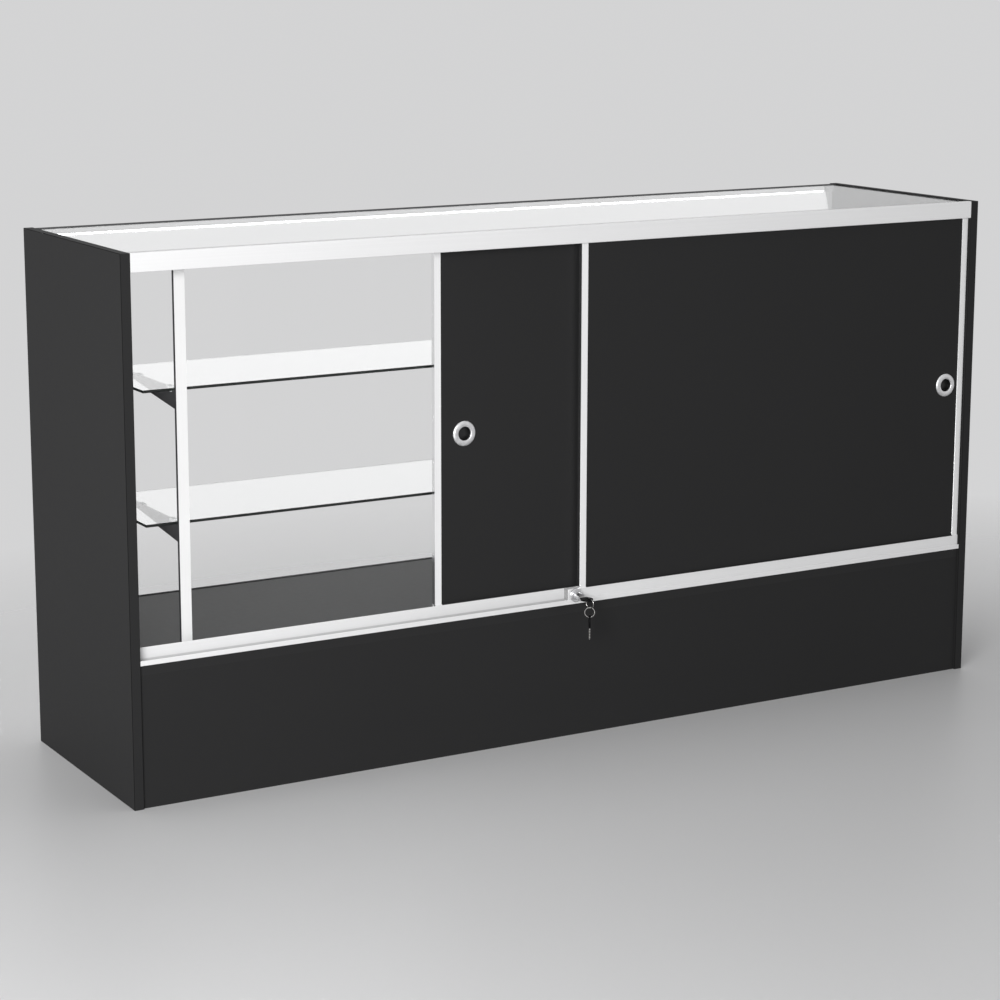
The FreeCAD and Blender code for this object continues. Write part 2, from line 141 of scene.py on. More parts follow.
class CounterDetails(bpy.types.PropertyGroup):
    """Sizes of the small pieces"""

    pull_mouth: length_property("Pull mouth", "Radius of a finger pull's mouth", 0.0128)
    collar_radius: length_property("Lock collar", "Radius of the collar round the lock's barrel", 0.0133)
    collar_rise: length_property("Collar rise", "How far the collar stands off the lock's case", 0.0058)
    barrel_gap: length_property("Barrel gap", "Gap between the barrel and its collar", 0.0001)
    edging: length_property("Edging", "Thickness of the edging on the glass top's front edge", 0.0005)
    edging_lap: length_property("Edging lap", "How far the edging laps over the glass", 0.0240)
    lens_rise: length_property("Lit lens", "Height of the lit part of the light bar's lens", 0.0028)
    lip_thick: length_property("Lip thickness", "Thickness of the front lip of the door track", 0.0021)
    # Height up to which the lanes of the door track are painted darker: a painted shade behind the lip
    lane_shade_height: length_property("Dust height", "Height of the dust in the lanes of the door track", 0.0078)
    bead_rise: length_property("Bead rise", "How far a glazing bead stands above its channel", 0.0010)
    shoe_bead: length_property("Shoe bead", "Thickness of the bead between a door's panel and shoe", 0.0004)
    inner_lap: length_property("Inner lap", "How far the bead laps over the left door's shoe", 0.0020)
    outer_lap: length_property("Outer lap", "How far the bead laps over the right door's shoe", 0.0004)
    ring_wire: length_property("Ring wire", "Half the width of a split ring's wire", 0.00065)
    coil_gap: length_property("Coil gap", "Gap between the turns of a split ring", 0.00006)
    screw_radius: length_property("Screw head", "Radius of a pan head on a standard", 0.0035)
    screw_rise: length_property("Screw rise", "Height of a pan head", 0.0020)
    screw_low: length_property("Lower screw", "Height of the lower screw above a standard's foot", 0.0080)
    screw_high: length_property("Upper screw", "Drop of the upper screw below a standard's top", 0.0090)
    track_screw_radius: length_property("Track screw", "Radius of a countersunk head in the track", 0.0030)
    track_screw_rise: length_property("Track screw rise", "Height of a head above the track's floor", 0.0004)
    track_floor: length_property("Track floor", "Thickness of the track under the heads", 0.0020)
    track_screw_front: length_property("Front row", "Distance of the first row from the front", 0.0052)
    track_screw_pitch: length_property("Row pitch", "Distance between the rows in the two lanes", 0.0180)
    track_screws: IntProperty(name="Track screws", description="Screws along each lane", min=2, default=5)


class CounterStudio(bpy.types.PropertyGroup):
    """Camera, floor and lamps"""

    camera: place_property("Camera", "Place of the camera", (-2.5070, -4.2418, 1.4662))
    pitch: FloatProperty(name="Pitch", description="Tilt below the horizon", subtype="ANGLE",
                         default=math.radians(11.134))
    yaw: FloatProperty(name="Yaw", description="Turn towards +X", subtype="ANGLE",
                       default=math.radians(29.606))
    lens: FloatProperty(name="Lens", description="Focal length of the camera, in millimetres", default=93.435)
    shift: FloatVectorProperty(name="Shift", description="Shift of the frame, as a share of its width",
                               size=2, default=(0.01965, -0.04436))
    floor: colour_property("Floor", "Pale floor", (0.66, 0.66, 0.665))
    floor_radius: length_property("Floor radius", "Radius of the floor", 9.5)
    floor_centre: place_property("Floor centre", "Middle of the floor that is seen", (0.0, -1.6, 0.0))
    floor_near: length_property("Floor fade start", "Distance at which the floor starts to fade", 1.7)
    floor_far: length_property("Floor fade end", "Distance at which the floor is gone", 3.4)
    backdrop: colour_property("Backdrop", "Pale surroundings", (0.655, 0.655, 0.66))
    fill: FloatProperty(name="Fill", description="Strength of the even light from all round", min=0.0,
                        default=0.33)
    key_place: place_property("Key place", "Place of the large lamp", (-3.0, -3.0, 1.6))
    key_size: length_property("Key size", "Diameter of the large lamp", 1.8)
    key_power: power_property("Key lamp", "Power of the large lamp", 130.0)
    top_place: place_property("Top place", "Place of the overhead lamp", (0.3, -0.2, 4.4))
    top_size: length_property("Top size", "Diameter of the overhead lamp", 3.4)
    top_power: power_property("Top lamp", "Power of the overhead lamp", 30.0)
    far_place: place_property("Far place", "Place of the lamp on the customer side", (1.85, 3.8, 1.6))
    far_size: length_property("Far size", "Diameter of the lamp on the customer side", 2.91)
    far_power: power_property("Far lamp", "Power of the lamp on the customer side", 6.7)
    low_place: place_property("Low place", "Place of the low card that the shelves mirror", (0.1, 1.5, 0.92))
    low_width: length_property("Low width", "Width of the low card", 1.5)
    low_height: length_property("Low height", "Height of the low card", 0.30)
    low_power: power_property("Low card", "Power of the low card", 0.61)


# Shader trees


def new_finish(name):
    """A material with one Principled shader, its tree and the shader."""
    material = bpy.data.materials.new(name)
    material.use_nodes = True
    shader = material.node_tree.nodes["Principled BSDF"]
    return material, material.node_tree, shader


def add_node(tree, kind, values=(), **settings):
    """A node with the given settings, and the given values on its inputs."""
    made = tree.nodes.new(kind)
    for key, value in settings.items():
        setattr(made, key, value)
    for key, value in dict(values).items():
        made.inputs[key].default_value = value
    return made


def positions(tree, stretch=(1.0, 1.0, 1.0)):
    """Positions on the piece in metres, multiplied along each axis."""
    where = add_node(tree, "ShaderNodeTexCoord")
    mapping = add_node(tree, "ShaderNodeMapping", {"Scale": stretch})
    tree.links.new(where.outputs["Object"], mapping.inputs["Vector"])
    return mapping.outputs["Vector"]


def coordinate(tree, vector, axis):
    """One coordinate of a vector."""
    split = add_node(tree, "ShaderNodeSeparateXYZ")
    tree.links.new(vector, split.inputs["Vector"])
    return split.outputs[axis]


def noise(tree, vector, scale, detail=3.0, roughness=0.55):
    """Cloudy values about one half."""
    made = add_node(tree, "ShaderNodeTexNoise", {"Scale": scale, "Detail": detail, "Roughness": roughness})
    tree.links.new(vector, made.inputs["Vector"])
    return made.outputs["Fac"]


def spread(tree, value, low, high, start=0.3, end=0.7):
    """Map a value between start and end to the span from low to high."""
    limits = {"From Min": start, "From Max": end, "To Min": low, "To Max": high}
    made = add_node(tree, "ShaderNodeMapRange", limits)
    tree.links.new(value, made.inputs["Value"])
    return made.outputs["Result"]


def combine(tree, operation, *entries):
    """The result of an operation on values, each of them fixed or from a socket."""
    made = add_node(tree, "ShaderNodeMath", operation=operation)
    for entry, value in zip(made.inputs, entries):
        if isinstance(value, bpy.types.NodeSocket):
            tree.links.new(value, entry)
        else:
            entry.default_value = value
    return made.outputs["Value"]


def blend_colours(tree, factor, first, second):
    """Mix two colours, each of them fixed or from a socket."""
    made = add_node(tree, "ShaderNodeMix", data_type="RGBA")
    for entry, colour in ((made.inputs[MIX_FIRST], first), (made.inputs[MIX_SECOND], second)):
        if isinstance(colour, bpy.types.NodeSocket):
            tree.links.new(colour, entry)
        else:
            entry.default_value = (*colour, 1.0)
    tree.links.new(factor, made.inputs[MIX_FACTOR])
    return made.outputs[MIX_RESULT]


def blend_shaders(tree, factor, first, second, output):
    """Mix two shaders into the named output of the tree."""
    made = add_node(tree, "ShaderNodeMixShader")
    tree.links.new(factor, made.inputs[0])
    tree.links.new(first.outputs[0], made.inputs[1])
    tree.links.new(second.outputs[0], made.inputs[2])
    tree.links.new(made.outputs[0], tree.nodes[output].inputs["Surface"])


def bump(tree, height, shader, strength, depth):
    """Raise the surface by up to a depth in metres."""
    made = add_node(tree, "ShaderNodeBump", {"Strength": strength, "Distance": depth})
    tree.links.new(height, made.inputs["Height"])
    tree.links.new(made.outputs["Normal"], shader.inputs["Normal"])


def shade(colour, share):
    """A colour made darker or lighter by a share."""
    return tuple(min(1.0, channel * share) for channel in colour)


def facing(tree, axis):
    """How squarely a face looks along the given axis, from 0 to 1."""
    surface = add_node(tree, "ShaderNodeNewGeometry")
    return combine(tree, "ABSOLUTE", coordinate(tree, surface.outputs["True Normal"], axis))


def edge_mask(tree, axis):
    """1 on the faces that look across the given axis, 0 on those that look along it."""
    return spread(tree, facing(tree, axis), 1.0, 0.0, start=0.45, end=0.55)


def arris_mask(tree, axis):
    """1 on the eased corners between the large faces and the edges, 0 elsewhere."""
    square = facing(tree, axis)
    past_edge = spread(tree, square, 0.0, 1.0, start=0.50, end=0.60)
    before_face = spread(tree, square, 1.0, 0.0, start=0.80, end=0.90)
    return combine(tree, "MULTIPLY", past_edge, before_face)


def lane_shade_mask(tree, behind, below):
    """1 in the lanes behind a given Y and below a given Z, where the track takes a painted shade, 0
    elsewhere.
    """
    front_fade = 0.0005
    top_fade = 0.001
    where = positions(tree)
    back = spread(tree, coordinate(tree, where, "Y"), 0.0, 1.0, start=behind, end=behind + front_fade)
    deep = spread(tree, coordinate(tree, where, "Z"), 1.0, 0.0, start=below - top_fade, end=below + top_fade)
    return combine(tree, "MULTIPLY", back, deep)


def melamine(name, colour, across, rough, gloss, top_gloss=None):
    """Black melamine with a fine pebble, clouding, banded edges with a dark seam, and a little floor dust.

    Level faces may have a gloss of their own.
    """
    material, tree, shader = new_finish(name)
    where = positions(tree)
    cloud = spread(tree, noise(tree, where, scale=1.7, detail=5.0), 0.0, 0.3)
    near_floor = spread(tree, coordinate(tree, where, "Z"), 0.5, 0.0, start=0.0, end=0.07)
    dust = combine(tree, "MULTIPLY_ADD", near_floor, noise(tree, where, scale=24.0, detail=4.0), cloud)
    tone = blend_colours(tree, dust, shade(colour, 0.97), shade(colour, 1.12))
    seam = shade(colour, 0.3)
    tone = blend_colours(tree, arris_mask(tree, across), tone, seam)
    tree.links.new(tone, shader.inputs["Base Color"])
    smoother_edge = -0.08
    skin = spread(tree, noise(tree, where, scale=90.0, detail=5.0), rough - 0.01, rough + 0.01)
    sheen = combine(tree, "MULTIPLY_ADD", edge_mask(tree, across), smoother_edge, skin)
    tree.links.new(sheen, shader.inputs["Roughness"])
    bump(tree, noise(tree, where, scale=1400.0, detail=2.0), shader, strength=0.04, depth=0.0002)
    shader.inputs["Specular IOR Level"].default_value = gloss
    if top_gloss is not None:
        gleam = spread(tree, facing(tree, "Z"), gloss, top_gloss, start=0.45, end=0.55)
        tree.links.new(gleam, shader.inputs["Specular IOR Level"])
    return material


def timber(name, colour):
    """Softwood grain along the Y axis."""
    material, tree, shader = new_finish(name)
    grain = noise(tree, positions(tree, (60.0, 3.0, 60.0)), scale=3.0, detail=6.0, roughness=0.6)
    tone = blend_colours(tree, spread(tree, grain, 0.0, 1.0), shade(colour, 0.72), shade(colour, 1.15))
    tree.links.new(tone, shader.inputs["Base Color"])
    tree.links.new(spread(tree, grain, 0.55, 0.7), shader.inputs["Roughness"])
    bump(tree, grain, shader, strength=0.2, depth=0.0004)
    return material


def satin_aluminium(name, colour, along, polished=None, lanes=None):
    """Anodised extrusion with drawing lines along its length, and much darker ends.

    Two sides may be polished, and lanes behind a given Y may be painted darker below a given Z, a painted
    shade behind the track's lip.
    """
    material, tree, shader = new_finish(name)
    stretch = tuple(2.0 if axis == along else 900.0 for axis in "XYZ")
    lines = noise(tree, positions(tree, stretch), scale=1.0, detail=4.0, roughness=0.6)
    cloud = noise(tree, positions(tree), scale=5.0, detail=2.0)
    tone = blend_colours(tree, spread(tree, lines, 0.0, 1.0), shade(colour, 0.98), shade(colour, 1.02))
    # The faces that look along the length are much darker than the sides
    darker_ends = shade(colour, 0.42)
    tone = blend_colours(tree, edge_mask(tree, along), darker_ends, tone)
    # Painted shade: the lanes behind the track's lip are darker low down
    if lanes:
        lane_shade_tone = shade(colour, 0.7)
        tone = blend_colours(tree, lane_shade_mask(tree, *lanes), tone, lane_shade_tone)
    tree.links.new(tone, shader.inputs["Base Color"])
    rough = combine(tree, "MULTIPLY", spread(tree, lines, 0.85, 1.1), spread(tree, cloud, 0.34, 0.42))
    tree.links.new(rough, shader.inputs["Roughness"])
    bump(tree, lines, shader, strength=0.05, depth=0.0001)
    satin = 0.15
    shader.inputs["Metallic"].default_value = satin
    if polished:
        sides = edge_mask(tree, polished)
        even = add_node(tree, "ShaderNodeMix", {"A": 0.12}, data_type="FLOAT")
        tree.links.new(sides, even.inputs["Factor"])
        tree.links.new(rough, even.inputs["B"])
        tree.links.new(even.outputs["Result"], shader.inputs["Roughness"])
        tree.links.new(spread(tree, sides, 1.0, satin, start=0.0, end=1.0), shader.inputs["Metallic"])
    return material


def powder_coat(name, colour, side_colour, rough):
    """Baked powder paint with a faint orange-peel surface, and its own colour on the sides facing X."""
    material, tree, shader = new_finish(name)
    where = positions(tree)
    tone = blend_colours(tree, noise(tree, where, scale=9.0), shade(colour, 0.95), shade(colour, 1.05))
    tone = blend_colours(tree, edge_mask(tree, "X"), side_colour, tone)
    tree.links.new(tone, shader.inputs["Base Color"])
    skin = spread(tree, noise(tree, where, scale=60.0), rough - 0.04, rough + 0.05)
    tree.links.new(skin, shader.inputs["Roughness"])
    bump(tree, noise(tree, where, scale=620.0, detail=2.0), shader, strength=0.12, depth=0.0002)
    return material


def clear_glass(name, tint, edge_tint, across, body=1.0):
    """Clear pane that lets lamps through, greener and darker along its ground edges.

    With a body under 1, the large faces show more of what is behind them.
    """
    material, tree, shader = new_finish(name)
    edge = edge_mask(tree, across)
    tree.links.new(blend_colours(tree, edge, tint, edge_tint), shader.inputs["Base Color"])
    ground = 0.35
    smear = spread(tree, noise(tree, positions(tree), scale=7.0, detail=4.0), 0.0, 0.012)
    tree.links.new(combine(tree, "MULTIPLY_ADD", edge, ground, smear), shader.inputs["Roughness"])
    shader.inputs["Transmission Weight"].default_value = 1.0
    shader.inputs["IOR"].default_value = 1.5
    if body < 1.0:
        tree.links.new(spread(tree, edge, body, 1.0, start=0.0, end=1.0), shader.inputs["Alpha"])
    path = add_node(tree, "ShaderNodeLightPath")
    open_pane = add_node(tree, "ShaderNodeBsdfTransparent", {"Color": (*tint, 1.0)})
    blend_shaders(tree, path.outputs["Is Shadow Ray"], shader, open_pane, "Material Output")
    return material


def soft_rubber(name, colour):
    """Slightly clear rubber with a fine grain."""
    material, tree, shader = new_finish(name)
    where = positions(tree)
    tone = blend_colours(tree, noise(tree, where, scale=150.0), shade(colour, 0.9), shade(colour, 1.1))
    tree.links.new(tone, shader.inputs["Base Color"])
    tree.links.new(spread(tree, noise(tree, where, scale=300.0), 0.5, 0.65), shader.inputs["Roughness"])
    bump(tree, noise(tree, where, scale=900.0), shader, strength=0.1, depth=0.0002)
    shader.inputs["Transmission Weight"].default_value = 0.25
    return material


def matt_vinyl(name, colour):
    """Soft vinyl with a dry, faintly mottled skin."""
    material, tree, shader = new_finish(name)
    where = positions(tree)
    tone = blend_colours(tree, noise(tree, where, scale=120.0), shade(colour, 0.9), shade(colour, 1.4))
    tree.links.new(tone, shader.inputs["Base Color"])
    tree.links.new(spread(tree, noise(tree, where, scale=400.0), 0.7, 0.85), shader.inputs["Roughness"])
    bump(tree, noise(tree, where, scale=1800.0), shader, strength=0.1, depth=0.0001)
    shader.inputs["Specular IOR Level"].default_value = 0.0
    return material


def bright_plate(name, colour, rough):
    """Polished plating with faint smears and hairlines."""
    material, tree, shader = new_finish(name)
    smear = noise(tree, positions(tree), scale=180.0, detail=5.0)
    tone = blend_colours(tree, smear, shade(colour, 0.94), shade(colour, 1.05))
    tree.links.new(tone, shader.inputs["Base Color"])
    tree.links.new(spread(tree, smear, rough, rough * 2.0), shader.inputs["Roughness"])
    hairlines = noise(tree, positions(tree, (300.0, 300.0, 4000.0)), scale=1.0)
    bump(tree, hairlines, shader, strength=0.015, depth=0.0001)
    shader.inputs["Metallic"].default_value = 1.0
    return material


def moulded_plastic(name, colour, rough, gloss=0.5):
    """Injection-moulded plastic with a spark-eroded grain."""
    material, tree, shader = new_finish(name)
    where = positions(tree)
    tone = blend_colours(tree, noise(tree, where, scale=40.0), shade(colour, 0.85), shade(colour, 1.2))
    tree.links.new(tone, shader.inputs["Base Color"])
    skin = spread(tree, noise(tree, where, scale=240.0), rough - 0.05, rough + 0.08)
    tree.links.new(skin, shader.inputs["Roughness"])
    bump(tree, noise(tree, where, scale=2600.0, detail=2.0), shader, strength=0.15, depth=0.0001)
    shader.inputs["Specular IOR Level"].default_value = gloss
    return material


def opal_lens(name, colour, glow, hood):
    """Lit opal lens, a little brighter over each lamp chip along X, and painted dark above the height of its
    hood as painted shade.
    """
    material, tree, shader = new_finish(name)
    where = positions(tree)
    wave = add_node(tree, "ShaderNodeTexWave", {"Scale": 9.5}, bands_direction="X")
    tree.links.new(where, wave.inputs["Vector"])
    chips = wave.outputs["Fac"]
    fade = 0.0002
    lit = spread(tree, coordinate(tree, where, "Z"), 1.0, 0.0, start=hood - fade, end=hood + fade)
    tone = blend_colours(tree, chips, shade(colour, 0.97), colour)
    # Painted shade: above its hood the lens takes a dark colour in place of its own white
    hood_shade_tone = shade(colour, 0.12)
    tree.links.new(blend_colours(tree, lit, hood_shade_tone, tone), shader.inputs["Base Color"])
    tree.links.new(tone, shader.inputs["Emission Color"])
    strength = spread(tree, chips, glow * 0.92, glow, start=0.0, end=1.0)
    tree.links.new(combine(tree, "MULTIPLY", strength, lit), shader.inputs["Emission Strength"])
    shader.inputs["Roughness"].default_value = 0.45
    return material


# Meshes


def corners(node):
    """Lowest and highest corners of a node at rest."""
    low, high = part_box(node)
    return Vector(low), Vector(high)


def new_piece(name, mesh, body, material):
    """A piece that rides on a body, with the given material."""
    piece = bpy.data.objects.new(name, mesh)
    bpy.context.scene.collection.objects.link(piece)
    piece.data.materials.append(material)
    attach(piece, body)
    return piece


def mesh_from(name, build):
    """A smooth-shaded mesh whose faces the build function adds."""
    form = bmesh.new()
    build(form)
    bmesh.ops.recalc_face_normals(form, faces=form.faces)
    for face in form.faces:
        face.smooth = True
    mesh = bpy.data.meshes.new(name)
    form.to_mesh(mesh)
    form.free()
    mesh.set_sharp_from_angle(angle=SHARP_ANGLE)
    return mesh


def finish_nodes(material, *names):
    """Give the named nodes one material."""
    for name in names:
        NODES[name].data.materials.clear()
        NODES[name].data.materials.append(material)


def join_rows(form, first, second):
    """Faces between two closed rows of the same length."""
    for index in range(len(first)):
        after = (index + 1) % len(first)
        form.faces.new((first[index], first[after], second[after], second[index]))


def turned_ring(form, centre, inner, outer, rise, shares, sides):
    """A ring about a line along Y, standing off towards -Y, with its section given in shares."""
    rows = []
    for side in range(sides):
        angle = 2 * math.pi * side / sides
        out = Vector((math.cos(angle), 0, math.sin(angle)))
        row = []
        for width, height in shares:
            reach = inner + (outer - inner) * width
            row.append(form.verts.new(centre + out * reach - Vector((0, rise * height, 0))))
        rows.append(row)
    for side in range(sides):
        join_rows(form, rows[side - 1], rows[side])


def bar_along_x(form, start, end, outline):
    """A bar between two places along X with the given outline in Y and Z."""
    rows = []
    for x in (start, end):
        rows.append([form.verts.new((x, y, z)) for y, z in outline])
    join_rows(form, *rows)
    for row in rows:
        form.faces.new(row)


def flat_section(width, thick):
    """Outline of a flat wire with eased corners."""
    ease = 0.3 * thick
    half = width / 2
    rise = thick / 2
    return [(-half, -rise + ease), (-half + ease, -rise), (half - ease, -rise), (half, -rise + ease),
            (half, rise - ease), (half - ease, rise), (-half + ease, rise), (-half, rise - ease)]


def split_ring(form, node, wire, gap):
    """Two flat turns in the place of a plain ring that stands on edge."""
    low, high = corners(node)
    centre = (low + high) / 2
    reach = (high - low) / 2
    outer = reach.z
    # A ring turned by t reaches outer cos t + wire sin t along X and outer sin t + wire cos t along Y.
    across = Vector((outer * reach.x - wire * reach.y, wire * reach.x - outer * reach.y, 0)).normalized()
    normal = Vector((-across.y, across.x, 0))
    steps = 144
    step_over = 0.12
    rows = []
    for step in range(steps + 1):
        share = step / steps
        angle = share * 4 * math.pi
        climb = min(1.0, max(0.0, (share - 0.5 + step_over / 2) / step_over))
        lift = wire * (climb - 0.5)
        radial = across * math.cos(angle) + Vector((0, 0, math.sin(angle)))
        row = []
        for side, level in flat_section(2 * wire, wire - gap):
            row.append(form.verts.new(centre + radial * (outer - wire + side) + normal * (lift + level)))
        rows.append(row)
    for first, second in zip(rows, rows[1:]):
        join_rows(form, first, second)
    form.faces.new(rows[0])
    form.faces.new(reversed(rows[-1]))


def screw_head(form, seat, out, side, radius, rise):
    """A round head with a cross recess; out points away from the seat and side along one arm."""
    up = out.cross(side)
    segments = 32
    bands = 5
    flat = 0.72 * radius
    recess = 0.55 * rise
    arm = 0.55 * radius
    half = 0.13 * radius
    turns = [2 * math.pi * segment / segments for segment in range(segments)]

    def row(points, level):
        return [form.verts.new(seat + side * x + up * y + out * level) for x, y in points]

    rows = []
    for band in range(bands):
        lean = math.pi / 2 * band / (bands - 1)
        reach = flat + (radius - flat) * math.cos(lean)
        circle = [(reach * math.cos(turn), reach * math.sin(turn)) for turn in turns]
        rows.append(row(circle, rise * math.sin(lean)))
    for first, second in zip(rows, rows[1:]):
        join_rows(form, first, second)
    outline = []
    for quarter in range(4):
        cos = round(math.cos(quarter * math.pi / 2))
        sin = round(math.sin(quarter * math.pi / 2))
        for x, y in ((arm, -half), (arm, half), (half, half)):
            outline.append((x * cos - y * sin, x * sin + y * cos))
    mouth = row(outline, rise)
    bottom = row(outline, rise - recess)
    join_rows(form, mouth, bottom)
    form.faces.new(bottom)
    rim = []
    for loop in (rows[-1], mouth):
        for index in range(len(loop)):
            ends = (loop[index - 1], loop[index])
            rim.append(form.edges.get(ends) or form.edges.new(ends))
    bmesh.ops.triangle_fill(form, use_beauty=True, edges=rim)


class CounterOperator:
    """What the counter's operators share"""

    bl_options = {"REGISTER", "UNDO"}

    @property
    def finishes(self):
        return bpy.context.scene.counter_finishes

    @property
    def details(self):
        return bpy.context.scene.counter_details


class COUNTER_OT_boards(CounterOperator, bpy.types.Operator):
    """Finish the ends, base, deck, cleats and door panels"""

    bl_idname = "counter.boards"
    bl_label = "Boards"

    def execute(self, context):
        board = self.finishes.board
        ends = melamine("end_melamine", board, "X", rough=0.45, gloss=0.05, top_gloss=0.004)
        finish_nodes(ends, "left_end_panel", "right_end_panel", "centre_support")
        uprights = melamine("upright_melamine", board, "Y", rough=0.45, gloss=0.05, top_gloss=0.004)
        finish_nodes(uprights, "rear_kick_panel", "front_kick_panel", "left_door_panel", "right_door_panel")
        finish_nodes(melamine("deck_melamine", board, "Z", rough=0.42, gloss=0.10), "deck_board")
        finish_nodes(timber("planed_softwood", self.finishes.timber), "deck_cleats")
        return {"FINISHED"}


class COUNTER_OT_glass(CounterOperator, bpy.types.Operator):
    """Finish the panes, and the rubber and vinyl that seat and edge them"""

    bl_idname = "counter.glass"
    bl_label = "Glass"

    def execute(self, context):
        tints = (self.finishes.glass, self.finishes.glass_edge)
        flat = clear_glass("flat_glass", *tints, "Z")
        finish_nodes(flat, "glass_top", "upper_glass_shelf", "lower_glass_shelf")
        finish_nodes(clear_glass("upright_glass", *tints, "Y", body=0.07), "glass_front")
        finish_nodes(soft_rubber("soft_rubber", self.finishes.rubber), "shelf_pads")
        black = matt_vinyl("matt_vinyl", self.finishes.vinyl)
        finish_nodes(black, "top_glass_gaskets")
        grey = matt_vinyl("grey_vinyl", self.finishes.grey_vinyl)
        trims = (("front_edging", self.edging, grey), ("front_glazing_beads", self.beads, black))
        for name, build, material in trims:
            new_piece(name, mesh_from(name, build), "counter", material)
        return {"FINISHED"}

    def edging(self, form):
        """An angle of soft vinyl over the front edge of the glass top."""
        thick = self.details.edging
        low, high = corners("glass_top")
        ease = thick / 3
        lap = high.y - self.details.edging_lap
        top = high.z + thick
        front = high.y + thick
        outline = [(lap, high.z), (high.y, high.z), (high.y, low.z), (front - ease, low.z),
                   (front, low.z + ease), (front, top - ease), (front - ease, top), (lap + ease, top),
                   (lap, top - ease)]
        bar_along_x(form, low.x, high.x, outline)

    def beads(self, form):
        """Two rounded beads that close the bottom channel on both sides of the front pane."""
        low, high = corners("front_bottom_channel")
        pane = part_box("glass_front")
        seat = high.z
        rise = self.details.bead_rise
        crown = 0.8 * rise
        shoulder = 0.3 * rise
        for inner, outer in ((pane[0][1], low.y), (pane[1][1], high.y)):
            middle = (inner + outer) / 2
            outline = [(inner, seat), (inner, seat + rise), (middle, seat + crown), (outer, seat + shoulder),
                       (outer, seat)]
            bar_along_x(form, pane[0][0], pane[1][0], outline)


class COUNTER_OT_extrusions(CounterOperator, bpy.types.Operator):
    """Finish the rails, tracks, channels and door frames"""

    bl_idname = "counter.extrusions"
    bl_label = "Extrusions"

    def execute(self, context):
        aluminium = self.finishes.aluminium
        # The level extrusions are painted a little darker than the upright ones, a painted shade
        level = satin_aluminium("level_aluminium", shade(aluminium, LEVEL_SHADE_SHARE), "X")
        finish_nodes(level, "top_rear_rail", "top_front_rail", "front_bottom_channel")
        dark = satin_aluminium("lamp_aluminium", shade(aluminium, CHANNEL_SHARE), "X")
        finish_nodes(dark, "light_channel")
        # The lanes behind the track's lip are painted darker low down, a painted shade
        front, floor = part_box("bottom_door_track")[0][1:]
        lanes = (front + self.details.lip_thick, floor + self.details.lane_shade_height)
        track = satin_aluminium("track_aluminium", shade(aluminium, LEVEL_SHADE_SHARE), "X", lanes=lanes)
        finish_nodes(track, "bottom_door_track")
        upright = satin_aluminium("upright_aluminium", aluminium, "Z", polished="X")
        finish_nodes(upright, "left_front_channel", "right_front_channel")
        for door in DOORS:
            finish_nodes(level, door + "_head", door + "_shoe")
            finish_nodes(upright, door + "_left_trim", door + "_right_trim")
        return {"FINISHED"}


class COUNTER_OT_shelf_supports(CounterOperator, bpy.types.Operator):
    """Finish the standards and brackets"""

    bl_idname = "counter.shelf_supports"
    bl_label = "Shelf supports"

    def execute(self, context):
        paint = self.finishes.grey_paint
        white = powder_coat("white_powder_coat", self.finishes.white_paint, paint, rough=0.42)
        finish_nodes(white, *STANDARDS)
        grey = powder_coat("grey_powder_coat", paint, paint, rough=0.45)
        finish_nodes(grey, "upper_shelf_brackets", "lower_shelf_brackets")
        return {"FINISHED"}


class COUNTER_OT_light_bar(CounterOperator, bpy.types.Operator):
    """Finish the light bar's lens and end caps"""

    bl_idname = "counter.light_bar"
    bl_label = "Light bar"

    def execute(self, context):
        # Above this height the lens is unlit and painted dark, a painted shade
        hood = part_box("light_diffuser")[0][2] + self.details.lens_rise
        lens = opal_lens("lit_opal_lens", self.finishes.lens, self.finishes.lens_glow, hood)
        finish_nodes(lens, "light_diffuser")
        caps = moulded_plastic("grey_plastic", self.finishes.grey_plastic, rough=0.45)
        finish_nodes(caps, "light_end_caps")
        return {"FINISHED"}


class COUNTER_OT_door_fittings(CounterOperator, bpy.types.Operator):
    """Turn the rims of the finger pulls, bead the panels, and finish the pulls and rollers"""

    bl_idname = "counter.door_fittings"
    bl_label = "Door fittings"

    def execute(self, context):
        chrome = bright_plate("pull_chrome", self.finishes.chrome, rough=0.30)
        black = moulded_plastic("pull_plastic", self.finishes.black_plastic, rough=0.38)
        nylon = moulded_plastic("roller_nylon", self.finishes.nylon, rough=0.45)
        vinyl = matt_vinyl("bead_vinyl", self.finishes.vinyl)
        laps = (self.details.inner_lap, self.details.outer_lap)
        for door, lap in zip(DOORS, laps):
            self.add_rim(door, chrome)
            self.add_bead(door, vinyl, lap)
            finish_nodes(chrome, door + "_pull_ring")
            finish_nodes(black, door + "_pull_cup")
            finish_nodes(nylon, door + "_left_roller", door + "_right_roller")
        return {"FINISHED"}

    def add_rim(self, door, material):
        """A rounded rim in the place of the pull's bevelled ring."""
        low, high = corners(door + "_pull_ring")
        centre = Vector(((low.x + high.x) / 2, high.y, (low.z + high.z) / 2))
        mouth = self.details.pull_mouth
        outer = (high.x - low.x) / 2

        def build(form):
            turned_ring(form, centre, mouth, outer, high.y - low.y, PULL_SECTION, PULL_SIDES)

        name = door + "_pull_rim"
        rim = new_piece(name, mesh_from(name, build), door, material)
        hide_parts(door + "_pull_ring")

    def add_bead(self, door, material, lap):
        """Caps on the shoe's two upper legs, between the trims and against the panel."""
        low, high = corners(door + "_shoe")
        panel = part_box(door + "_panel")
        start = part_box(door + "_left_trim")[1][0]
        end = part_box(door + "_right_trim")[0][0]
        thick = self.details.shoe_bead
        seat = high.z
        foot = seat - lap
        legs = ((panel[0][1], low.y, low.y - thick), (panel[1][1], high.y, high.y + thick))

        def build(form):
            for inner, outer, skin in legs:
                outline = [(inner, seat), (outer, seat), (outer, foot), (skin, foot), (skin, seat),
                           ((outer + skin) / 2, seat + thick), (inner, seat + thick)]
                bar_along_x(form, start, end, outline)

        name = door + "_shoe_bead"
        new_piece(name, mesh_from(name, build), door, material)


